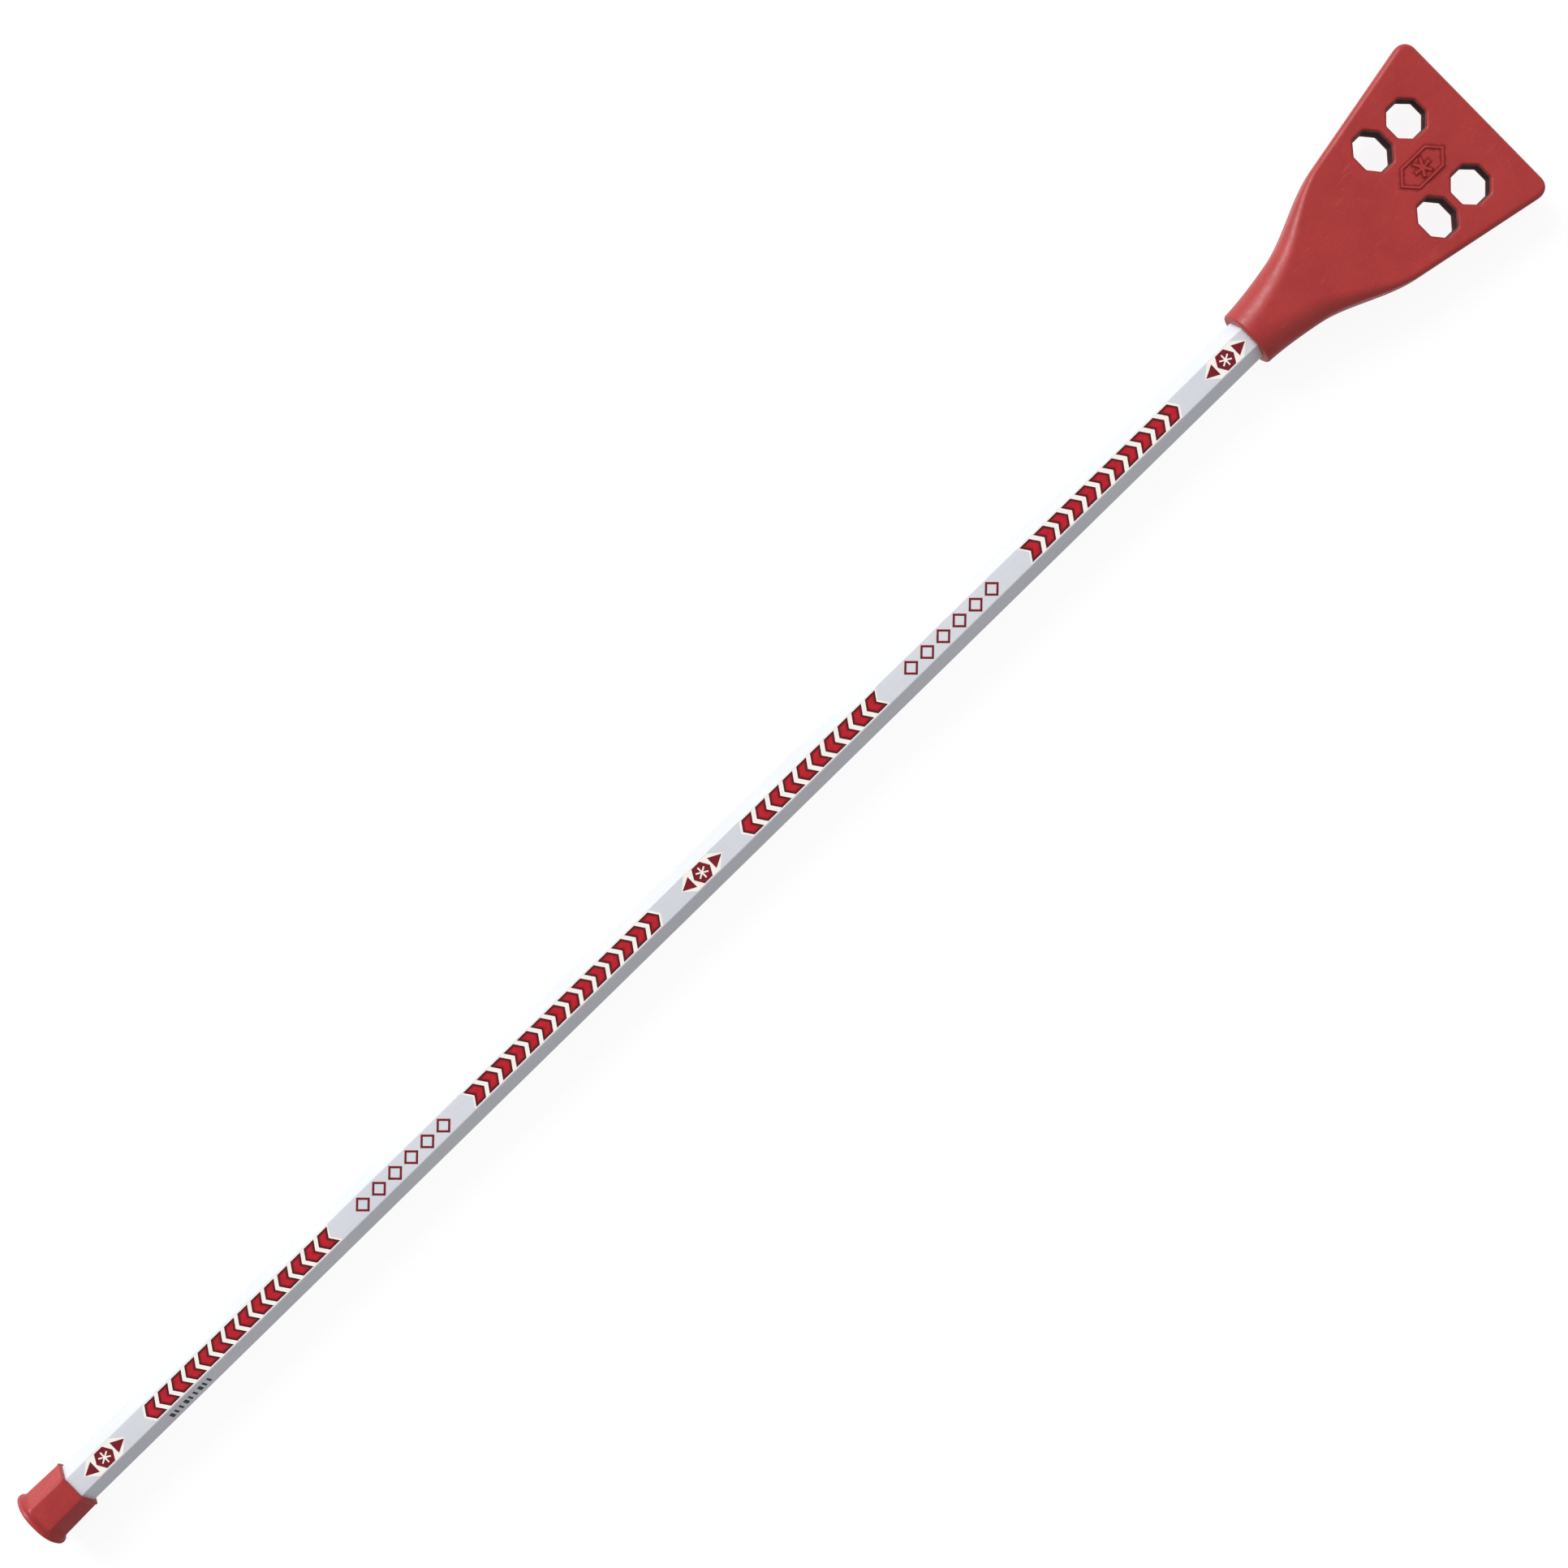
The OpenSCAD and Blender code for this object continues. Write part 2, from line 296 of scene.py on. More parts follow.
def rounded(corners, radius, grow, edge):
    """A convex polygon, given anticlockwise, with its corners rounded, then grown outwards."""
    out = []
    for i in range(len(corners)):
        n0, n1 = corner_normals(corners, i)
        centre = moved_in(corners, i, radius)
        turn = n0.angle(n1)
        for k in range(CORNER_STEPS + 1):
            way = Matrix.Rotation(turn * k / CORNER_STEPS, 2) @ n0
            out.append(centre + way * (radius + grow))
    return subdivided(out, edge)


def hexagon(flat, corner_r):
    """Ring of (y, z) points round a hexagon with two of its flats facing up and down."""
    ring = []
    reach = (flat - corner_r) / math.cos(math.pi / 6)

    def corner_point(middle, turn):
        """The point that faces the angle turn, on the rounded corner at the angle middle."""
        return (reach * math.cos(middle) + corner_r * math.cos(turn),
                reach * math.sin(middle) + corner_r * math.sin(turn))

    for side in range(6):
        a = math.pi / 3 * side
        for k in range(HEX_CORNER_STEPS + 1):
            ring.append(corner_point(a, a - math.pi / 6 + math.pi / 3 * k / HEX_CORNER_STEPS))
        after = a + math.pi / 3
        here, end = ring[-1], corner_point(after, after - math.pi / 6)
        for t in shares(HEX_SIDE_STEPS)[:-1]:
            ring.append((mix(here[0], end[0], t), mix(here[1], end[1], t)))
    return ring


def hex_row(x, flat, corner_r):
    """The hexagon's ring as (x, y, z) points at x."""
    return [(x, y, z) for y, z in hexagon(flat, corner_r)]


# ---- head ----

HEAD_L = (HEAD_HI.x - HEAD_LO.x) / MM
FERRULE_H = (HEAD_HI.z - HEAD_LO.z) / 2 / MM

# Widths at the mouth, the ferrule's end, the shoulder and the toe before its corners are rounded.
# x is measured from the mouth.
MOUTH_W, FERRULE_W, SHOULDER_W, SIDE_W = 42.5, 53.9, 101.8, 143.0
FERRULE_X, SHOULDER_X = 45.0, 111.4
FLARE_POWER = 1.5

# Half-thicknesses of the blade, and the stretch where the ferrule thins down to it.
BLADE_H, TOE_H = 9.5, 5.5
THIN_FROM, THIN_TO = 24.0, 138.0

# Roundings of the toe's corners, of the sides of the blade and the ferrule, and of the mouth. A
# side keeps this much upright wall, and its rounding faces as the outline does from this x on.
TOE_CORNER_R, EDGE_R, FERRULE_EDGE_R, MOUTH_R = 11.0, 4.2, FERRULE_H - 0.6, 1.6
UPRIGHT_WALL, FACES_OUTLINE_X = 0.2, 60.0

SOCKET_FLAT, SOCKET_L, SOCKET_CORNER_R, SOCKET_LIP = TUBE_FLAT + SOCKET_GAP, 62.0, 1.2, 0.8

# Holes as (x, y, length, width), given by their distance from the toe.
HOLE_Y, HOLE_CORNER_R, HOLE_LIP, HOLE_TAPER, HOLE_EDGE = 30.8, 2.6, 1.9, 1.2, 2.2
HOLES = [
    (HEAD_L - from_toe, side * HOLE_Y, length, width)
    for from_toe, length, width in ((69.6, 24.4, 29.4), (38.2, 26.4, 27.0))
    for side in (-1, 1)
]

# The raised mark: a long hexagon drawn as a line, round a six-armed star.
RELIEF_FROM_TOE, RELIEF_H, RELIEF_BEVEL, RELIEF_LINE, RELIEF_EDGE = 53.8, 0.8, 0.6, 2.3, 2.0
RING_TIP, RING_SHOULDER, RING_HALF = 20.5, 11.5, 9.8
STAR_ARM, STAR_HALF, STAR_BEVEL = 6.9, 1.3, RELIEF_BEVEL * 0.8

# The screws' counterbores and clearance holes, cut from this far below the ground.
RECESS_R, RECESS_DEPTH, SCREW_HOLE_R = 5.4, 3.6, 2.65
RECESS_SIDES, CUT_FROM_BELOW = 64, 2.0

# The painted shade on the holes' walls is full this deep in a hole and starts this far outside its
# lip.
# It is this strong at the foot of the raised mark.
PAINTED_SHADE_DEPTH, PAINTED_SHADE_REACH, PAINTED_SHADE_AT_FOOT = 3.0, 0.1, 0.55

# How finely the head is drawn.
MOUTH_STEPS, SIDE_STEPS, TOE_CORNER_STEPS, TOE_STEPS = 5, 96, 12, 26
EDGE_STEPS, HOLE_LIP_STEPS, FACE_SPACING = 14, 8, 1.8
SIDE_WALL = (0.66, 0.33, 0.0)
HOLE_WALL = (0.72, 0.44, 0.2, 0.0, -0.2, -0.44, -0.72)

# Digits that the mark's points are rounded to when they are looked up, in a face and in the mesh.
FACE_DIGITS, MESH_DIGITS = 4, 2


def head_half(x):
    """Half-width at x from the mouth, before the toe corners are rounded."""
    side_slope = (SIDE_W - SHOULDER_W) / 2 / (HEAD_L - SHOULDER_X)
    if x < FERRULE_X:
        return mix(MOUTH_W, FERRULE_W, max(0.0, x / FERRULE_X) ** FLARE_POWER) / 2
    if x > SHOULDER_X:
        return SHOULDER_W / 2 + side_slope * (x - SHOULDER_X)
    run = SHOULDER_X - FERRULE_X
    t = (x - FERRULE_X) / run
    start_slope = FLARE_POWER * (FERRULE_W - MOUTH_W) / 2 / FERRULE_X
    return (
        (2 * t**3 - 3 * t**2 + 1) * FERRULE_W / 2
        + (t**3 - 2 * t**2 + t) * run * start_slope
        + (3 * t**2 - 2 * t**3) * SHOULDER_W / 2
        + (t**3 - t**2) * run * side_slope
    )


def head_thick(x):
    """Half-thickness at x, with the mouth's rounding."""
    if x < THIN_TO:
        t = (x - THIN_FROM) / (THIN_TO - THIN_FROM)
        return mix(FERRULE_H, BLADE_H, ease(t)) - arc_cut(x, MOUTH_R)
    return mix(BLADE_H, TOE_H, (x - THIN_TO) / (HEAD_L - THIN_TO))


def head_edge(x):
    """Radius that rounds the side at x: a round ferrule, then a small edge on the blade."""
    round_r = mix(FERRULE_EDGE_R, EDGE_R, ease(x / SHOULDER_X))
    return min(round_r, head_thick(x) - UPRIGHT_WALL)


def head_outline():
    """(x, y) of the head's edge from the left of the mouth, round the toe, to the right."""
    left = [MOUTH_R * (1 - math.cos(a)) for a in quarter(MOUTH_STEPS)]
    left += [mix(MOUTH_R, HEAD_L - TOE_CORNER_R, t) for t in shares(SIDE_STEPS)]
    side = [(x, head_half(x) - arc_cut(x, MOUTH_R)) for x in left]
    for a in quarter(TOE_CORNER_STEPS)[1:]:
        x = HEAD_L - TOE_CORNER_R * (1 - math.sin(a))
        side.append((x, head_half(x) - TOE_CORNER_R * (1 - math.cos(a))))
    toe_half = side[-1][1]
    side += [(HEAD_L, mix(toe_half, 0.0, t)) for t in shares(TOE_STEPS)]
    return side + [(x, -y) for x, y in side[-2::-1]]


def head_rim():
    """Rows of points from the inner edge of the face, over the rounded side, to mid-thickness,
    one row for each point of the outline."""
    outline = head_outline()
    rows = []
    for i, (x, y) in enumerate(outline):
        ahead, behind = outline[min(i + 1, len(outline) - 1)], outline[max(i - 1, 0)]
        along = Vector((ahead[0] - behind[0], ahead[1] - behind[1]))
        normal = Vector((-along.y, along.x)).normalized()
        sideways = Vector((0.0, 1.0 if i < len(outline) / 2 else -1.0))
        normal = sideways.lerp(normal, ease(x / FACES_OUTLINE_X)).normalized()
        r = head_edge(x)
        row = []
        for a in quarter(EDGE_STEPS)[::-1]:
            cut = r * (1 - math.cos(a))
            px, py = x - normal.x * cut, y - normal.y * cut
            row.append((px, py, head_thick(min(px, HEAD_L)) - r + r * math.sin(a)))
        wall = row[-1][2]
        row += [(x, y, wall * share) for share in SIDE_WALL]
        rows.append(row)
    return rows


def octagon(x, y, length, width, grow):
    """A rounded octagon of this length and width across its flats, grown outwards."""
    scale = 1 / math.cos(math.radians(22.5))
    corners = []
    for k in range(8):
        a = math.radians(22.5 + 45 * k)
        corners.append((x + length / 2 * math.cos(a) * scale, y + width / 2 * math.sin(a) * scale))
    return rounded(corners, HOLE_CORNER_R, grow, HOLE_EDGE)


def hole_rows(x, y, length, width):
    """Rings from the front face, over the rounded lip and down the tapering wall, to the back."""
    rows = []

    def ring(grow, height):
        """height runs from 1 at the front face to -1 at the back."""
        outline = octagon(x, y, length, width, grow - HOLE_TAPER * (1 - height) / 2)
        rows.append([(px, py, head_thick(px) * height) for px, py in outline])

    lip = HOLE_LIP / head_thick(x)
    steps = quarter(HOLE_LIP_STEPS)
    for a in steps:
        ring(HOLE_LIP * (1 - math.sin(a)), 1 - lip * (1 - math.cos(a)))
    for share in HOLE_WALL:
        ring(0.0, (1 - lip) * share)
    for a in steps[::-1]:
        ring(HOLE_LIP * (1 - math.sin(a)), lip * (1 - math.cos(a)) - 1)
    return rows


def star_outline():
    """A six-armed star round (0, 0), anticlockwise: an arm's two corners, then a notch."""
    notch_reach = STAR_HALF / math.sin(math.radians(30))
    star = []
    for k in range(6):
        a = math.radians(60 * k)
        way, side = Vector((math.cos(a), math.sin(a))), Vector((-math.sin(a), math.cos(a)))
        notch = a + math.radians(30)
        star += [way * STAR_ARM - side * STAR_HALF, way * STAR_ARM + side * STAR_HALF,
                 Vector((math.cos(notch), math.sin(notch))) * notch_reach]
    return [tuple(p) for p in star]


def relief_loops():
    """Edges of the raised mark in the middle of the front face. Each entry is (loop, whether it
    is on top)."""
    ring = [
        (RING_TIP, 0.0), (RING_SHOULDER, RING_HALF), (-RING_SHOULDER, RING_HALF),
        (-RING_TIP, 0.0), (-RING_SHOULDER, -RING_HALF), (RING_SHOULDER, -RING_HALF),
    ]
    star = star_outline()
    made = [
        (ring, False),
        (inset(ring, RELIEF_BEVEL), True),
        (inset(ring, RELIEF_LINE - RELIEF_BEVEL), True),
        (inset(ring, RELIEF_LINE), False),
        (star, False),
        (inset(star, STAR_BEVEL), True),
    ]
    middle_x = HEAD_L - RELIEF_FROM_TOE
    return [
        ([(middle_x + x, y) for x, y in subdivided(loop, RELIEF_EDGE)], top) for loop, top in made
    ]


def relief_points(on_top, digits):
    """The mark's points on top or at its foot, rounded so that they can be looked up."""
    return {
        (round(x, digits), round(y, digits))
        for loop, top in relief_loops()
        if top == on_top
        for x, y in loop
    }


def head_face(surface, rim, front):
    """The flat part of the front, with the raised mark, or of the plain back."""
    outer = [(row[0][0], row[0][1]) for row in rim]
    grow = HOLE_LIP if front else HOLE_LIP - HOLE_TAPER
    holes = [octagon(*hole, grow) for hole in HOLES]
    lines = [loop for loop, _ in relief_loops()] if front else []
    flat, faces = triangulate(outer, holes, lines, FACE_SPACING)
    raised = relief_points(on_top=True, digits=FACE_DIGITS) if front else set()
    points = []
    for x, y in flat:
        lift = RELIEF_H if (round(x, FACE_DIGITS), round(y, FACE_DIGITS)) in raised else 0.0
        points.append((x, y, (1 if front else -1) * (head_thick(x) + lift)))
    surface.add(points, faces)


def head_mouth(surface, rim):
    """The end face round the socket, and the socket's own walls and floor."""
    first, last = rim[0], rim[-1]
    upper = [(p[1], p[2]) for p in first] + [(p[1], -p[2]) for p in first[-2::-1]]
    lower = [(p[1], -p[2]) for p in last] + [(p[1], p[2]) for p in last[-2::-1]]
    rows = [
        hex_row(0.0, SOCKET_FLAT + SOCKET_LIP, SOCKET_CORNER_R + SOCKET_LIP / 2),
        hex_row(SOCKET_LIP, SOCKET_FLAT, SOCKET_CORNER_R),
        hex_row(SOCKET_L, SOCKET_FLAT, SOCKET_CORNER_R),
    ]
    flat, faces = triangulate(upper + lower, [[(y, z) for _, y, z in rows[0]]])
    surface.add([(0.0, y, z) for y, z in flat], faces)
    surface.rows(rows, closed=True)
    surface.fan(rows[-1], (SOCKET_L, 0.0, 0.0))


def recess_cutter():
    """One stepped, closed shaft of a counterbore and a clearance hole under each CAD screw."""
    lo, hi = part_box("head_screws")
    screw_r = (hi.y - lo.y) / 2
    around = [math.tau * i / RECESS_SIDES for i in range(RECESS_SIDES)]
    cutter = bmesh.new()
    for x in (lo.x + screw_r, hi.x - screw_r):
        seat = AXIS_Z - head_thick((x - HEAD_LO.x) / MM) * MM + RECESS_DEPTH * MM
        profile = ((RECESS_R, -CUT_FROM_BELOW * MM), (RECESS_R, seat),
                   (SCREW_HOLE_R, seat), (SCREW_HOLE_R, AXIS_Z))
        rings = [
            [cutter.verts.new((x + r * MM * math.cos(a), r * MM * math.sin(a), z)) for a in around]
            for r, z in profile
        ]
        for low, high in zip(rings, rings[1:]):
            for i in range(RECESS_SIDES):
                j = (i + 1) % RECESS_SIDES
                cutter.faces.new((low[i], low[j], high[j], high[i]))
        cutter.faces.new(rings[0][::-1])
        cutter.faces.new(rings[-1])
    return object_from(cutter, "recess_cutter")


def cut_screw_recesses(piece):
    """Counterbores and clearance holes in the back of the ferrule, round the CAD screws."""
    cutter = recess_cutter()
    cut = piece.modifiers.new("recesses", "BOOLEAN")
    cut.operation, cut.solver, cut.object = "DIFFERENCE", "EXACT", cutter
    apply_modifiers(piece)
    bpy.data.objects.remove(cutter)
    shade(piece)


def mark_painted_shade(piece):
    """Vertex values for painted shade: they darken the walls of the holes and the foot of the
    raised mark.
    """
    points = np.array([v.co for v in piece.data.vertices]) - (HEAD_LO.x, 0.0, AXIS_Z)
    points /= MM
    thick = np.array([head_thick(x) for x in points[:, 0]])
    depth = (thick - np.abs(points[:, 2])) / PAINTED_SHADE_DEPTH
    # Painted shade: full deep in each hole, part strength at the foot of the raised mark.
    painted_shade = np.zeros(len(points))
    for hole in HOLES:
        here = inside(points, octagon(*hole, HOLE_LIP + PAINTED_SHADE_REACH))
        painted_shade[here] = np.clip(depth[here], 0.0, 1.0)
    foot = relief_points(on_top=False, digits=MESH_DIGITS)
    for i, (x, y, z) in enumerate(points):
        if z > 0 and (round(x, MESH_DIGITS), round(y, MESH_DIGITS)) in foot:
            painted_shade[i] = PAINTED_SHADE_AT_FOOT
    values = piece.data.attributes.new("painted_shade", "FLOAT", "POINT")
    values.data.foreach_set("value", painted_shade)


def build_head():
    """The rounded sides, both faces, the holes' walls and the socket as one closed skin."""
    surface = Surface()
    rim = head_rim()
    surface.rows(rim)
    surface.rows([[(x, y, -z) for x, y, z in row] for row in rim])
    head_face(surface, rim, front=True)
    head_face(surface, rim, front=False)
    for hole in HOLES:
        surface.rows(hole_rows(*hole), closed=True)
    head_mouth(surface, rim)
    piece = surface.make("moulded_head", HEAD_LO.x)
    cut_screw_recesses(piece)
    mark_painted_shade(piece)
    return piece


# ---- butt cap ----

CAP_L = (CAP_HI.x - CAP_LO.x) / MM
FLANGE_FLAT = (CAP_HI.z - CAP_LO.z) / 2 / MM

# Rings are (x, distance to the flats, corner radius). The closed end has a shallow dimple.
CAP_DIMPLE = [(0.5, 0.7, 0.6), (0.5, 2.4, 2.2), (0.0, 3.0, 2.8)]
CAP_END = [(0.0, 9.0, 8.0), (0.0, 15.0, 13.0)]

# The flange: its end's rounding, where it ends and how far it steps in there.
FLANGE_ROUND, END_R, END_ROUND_LOSS, END_STEPS = 19.0, 1.4, 1.0, 7
FLANGE_X, FLANGE_STEP_X, FLANGE_STEP, STEP_ROUND_LOSS = 2.4, 2.9, 0.25, 1.2

# The body: a flare from the flange to its foot, a long taper, and a rolled lip at the mouth. The
# flare's corners are done rounding a little before its flats.
FLARE_X, FLARE_STEPS, FLARE_ROUND_HASTE = 7.0, 8, 1.1
BODY_FOOT, BODY_MOUTH, BODY_ROUND = 16.8, 16.2, 2.2
BODY_SHARES = (0.04, 0.25, 0.5, 0.75, 0.96, 1.0)
LIP_L, LIP_GROW, LIP_DROP, LIP_STEPS = 2.0, 0.45, 0.9, 8

# The socket: its mouth as (distance in, distance past the flats, corner radius), its floor as
# (share of the flats' distance, corner radius).
CAP_SOCKET_FLAT, CAP_SOCKET_ROUND = TUBE_FLAT + SOCKET_GAP, 1.2
CAP_MOUTH = [(0.0, 0.8, 1.8), (0.25, 0.3, 1.5), (0.9, 0.0, CAP_SOCKET_ROUND)]
CAP_SOCKET_SHARES = (0.33, 0.66, 1.0)
CAP_FLOOR = 5.0
CAP_FLOOR_RINGS = ((0.6, CAP_SOCKET_ROUND), (0.2, 0.8))


def cap_outside():
    """Rings from the middle of the closed end, over the flange and the body, to the lip."""
    rings = CAP_DIMPLE + CAP_END
    rings += [
        (END_R * (1 - math.cos(a)), FLANGE_FLAT - END_R * (1 - math.sin(a)),
         FLANGE_ROUND - END_ROUND_LOSS)
        for a in quarter(END_STEPS)
    ]
    step_flat, step_round = FLANGE_FLAT - FLANGE_STEP, FLANGE_ROUND - STEP_ROUND_LOSS
    rings += [(FLANGE_X, FLANGE_FLAT, FLANGE_ROUND), (FLANGE_STEP_X, step_flat, step_round)]
    for t in shares(FLARE_STEPS):
        flat = mix(step_flat, BODY_FOOT, math.sin(math.pi / 2 * t))
        corner_r = mix(step_round, BODY_ROUND, ease(t * FLARE_ROUND_HASTE))
        rings.append((mix(FLANGE_STEP_X, FLARE_X, t), flat, corner_r))
    lip_x = CAP_L - LIP_L
    rings += [(mix(FLARE_X, lip_x, t), mix(BODY_FOOT, BODY_MOUTH, t), BODY_ROUND)
              for t in BODY_SHARES]
    for t in shares(LIP_STEPS):
        bulge = math.sin(math.pi * t)
        grow = LIP_GROW * bulge if t < 0.5 else LIP_GROW - LIP_DROP * (1 - bulge)
        rings.append((lip_x + LIP_L * t, BODY_MOUTH + grow, BODY_ROUND))
    return rings


def cap_socket():
    """Rings from the mouth down the socket and over its floor."""
    rings = [(CAP_L - x, CAP_SOCKET_FLAT + past, corner_r) for x, past, corner_r in CAP_MOUTH]
    mouth_x = rings[-1][0]
    rings += [(mix(mouth_x, CAP_FLOOR, t), CAP_SOCKET_FLAT, CAP_SOCKET_ROUND)
              for t in CAP_SOCKET_SHARES]
    rings += [(CAP_FLOOR, CAP_SOCKET_FLAT * share, corner_r) for share, corner_r in CAP_FLOOR_RINGS]
    return rings


def build_cap():
    """The cap as one skin of rings, closed in the middle of its end and of its socket's floor."""
    rows = [hex_row(*ring) for ring in cap_outside() + cap_socket()]
    surface = Surface()
    surface.rows(rows, closed=True)
    for row in (rows[0], rows[-1]):
        surface.fan(row, (row[0][0], 0.0, 0.0))
    return surface.make("butt_cap_rubber", CAP_LO.x)


# ---- shaft ----

TUBE_L = (TUBE_HI.x - TUBE_LO.x) / MM
TUBE_WALL, TUBE_ROUND, TUBE_CHAMFER = 1.6, 1.2, 0.35
BORE_ROUND, BORE_MOUTH_ROUND = 0.4, 0.5
TUBE_STEPS, BORE_STEP = 90, 6
# Faces that lie deeper below the flats than this share of the chamfer are bare metal.
LACQUER_ENDS = 0.8


def lacquered(centre):
    """Whether a face of the tube, given by its centre, is on the outside."""
    reach = max(
        abs(math.cos(a) * centre.y + math.sin(a) * (centre.z - AXIS_Z))
        for a in (math.radians(30), math.radians(90), math.radians(150))
    )
    return reach > (TUBE_FLAT - TUBE_CHAMFER * LACQUER_ENDS) * MM


def build_tube():
    """Lacquered outside (material 0) with bare metal on its bore and cut ends (material 1)."""
    bore = TUBE_FLAT - TUBE_WALL
    long = TUBE_L - 2 * TUBE_CHAMFER
    along = [TUBE_CHAMFER + long * i / TUBE_STEPS for i in range(TUBE_STEPS + 1)]
    outside = [hex_row(x, TUBE_FLAT, TUBE_ROUND) for x in along]
    inner = [hex_row(x, bore, BORE_ROUND) for x in along[::BORE_STEP]]

    def cut_end(x, i):
        """Rows over the tube's end at x, between the rows at index i outside and inside."""
        return [
            outside[i],
            hex_row(x, TUBE_FLAT - TUBE_CHAMFER, TUBE_ROUND),
            hex_row(x, bore + TUBE_CHAMFER / 2, BORE_MOUTH_ROUND),
            inner[i],
        ]

    surface = Surface()
    for rows in (outside, inner, cut_end(0.0, 0), cut_end(TUBE_L, -1)):
        surface.rows(rows, closed=True)
    piece = surface.make("shaft_lacquered_tube", TUBE_LO.x)
    for face in piece.data.polygons:
        face.material_index = 0 if lacquered(face.center) else 1
    return piece


# ---- printed graphics ----

CHEVRON_ARM, CHEVRON_POINT = 9.0, 4.4
PRINT_EDGE = 2.3
# A chevron's outline has six corners, from its tail to its point and back. These are its halves.
CHEVRON_HALVES = ((0, 1, 2, 5), (5, 2, 3, 4))
# Each row's CAD node, its number of chevrons and the way that they point.
BANDS = (("chevron_print_1", 14, -1), ("chevron_print_2", 14, 1),
         ("chevron_print_3", 10, -1), ("chevron_print_4", 11, 1))


def build_chevrons(node, number, way):
    """One row of chevrons as thin films, with a darker border carried by a vertex value."""
    lo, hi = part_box(node)
    length = (hi.x - lo.x) / MM
    half = (hi.y - lo.y) / 2 / MM
    each = CHEVRON_ARM + CHEVRON_POINT
    pitch = (length - each) / (number - 1)
    shape = [(0, -half), (CHEVRON_ARM, -half), (each, 0), (CHEVRON_ARM, half), (0, half),
             (CHEVRON_POINT, 0)]
    core = inset(shape, PRINT_EDGE)
    bm = bmesh.new()
    depth = bm.verts.layers.float.new("depth")

    def loop(k, outline, z, value):
        """The points of an outline of chevron k, at height z, with their value of depth."""
        made = []
        for x, y in outline:
            along = k * pitch + x if way > 0 else k * pitch + each - x
            made.append(bm.verts.new((lo.x + along * MM, y * MM, z)))
            made[-1][depth] = value
        return made

    for k in range(number):
        top = loop(k, shape, hi.z, 0.0)
        mid = loop(k, core, hi.z, 1.0)
        foot = loop(k, shape, lo.z, 0.0)
        for i in range(len(shape)):
            j = (i + 1) % len(shape)
            bm.faces.new((top[i], top[j], mid[j], mid[i]))
            bm.faces.new((foot[i], foot[j], top[j], top[i]))
        for f in CHEVRON_HALVES:
            bm.faces.new([mid[i] for i in f])
            bm.faces.new([foot[i] for i in f[::-1]])
    bmesh.ops.recalc_face_normals(bm, faces=bm.faces)
    return object_from(bm, node + "_film")


# ---- materials ----

WHITE = (1.0, 1.0, 1.0, 1.0)
HEAD_REDS = ((0.415, 0.026, 0.024), (0.358, 0.019, 0.018), (0.54, 0.10, 0.09))
CAP_REDS = ((0.430, 0.026, 0.026), (0.370, 0.019, 0.019), (0.54, 0.11, 0.10))
# Painted shade: a near-black red for the holes' walls and the raised mark's foot, and the lower
# sheen there.
PAINTED_SHADE = (0.034, 0.002, 0.004)
GLOSS_CLEAN, GLOSS_IN_PAINTED_SHADE = 0.5, 0.02
LACQUER_DEEP, LACQUER = (0.660, 0.680, 0.735), (0.715, 0.728, 0.775)
LACQUER_DRAWN, LACQUER_RUBBED = (0.52, 0.55, 0.62), (0.46, 0.48, 0.52)
ALUMINIUM_DEEP, ALUMINIUM = (0.60, 0.61, 0.63), (0.80, 0.81, 0.83)
ZINC_DEEP, ZINC = (0.42, 0.43, 0.44), (0.66, 0.66, 0.63)
TIMBER_DEEP, TIMBER = (0.36, 0.20, 0.09), (0.62, 0.42, 0.22)
CREAM, CREAM_DEEP = (0.97, 0.93, 0.87), (0.93, 0.88, 0.82)
MAROON, MAROON_DEEP = (0.215, 0.004, 0.014), (0.150, 0.002, 0.008)
GREY, GREY_DEEP = (0.040, 0.040, 0.048), (0.020, 0.020, 0.024)
INK_RED, INK_RED_DEEP = (0.64, 0.010, 0.026), (0.50, 0.004, 0.014)
INK_BORDER = (0.075, 0.001, 0.005)
# How far in from a chevron's edge its ink turns to red, as shares of PRINT_EDGE.
BORDER_FROM, BORDER_TO = 0.38, 1.1
FILM = {"Specular_IOR_Level": 0.3, "Coat_Weight": 0.08, "Coat_Roughness": 0.15}
FILM_ROUGH = (0.26, 0.40)
# Where a Mix node has its sockets for colours.
MIX_A, MIX_B, MIX_RESULT = 6, 7, 2


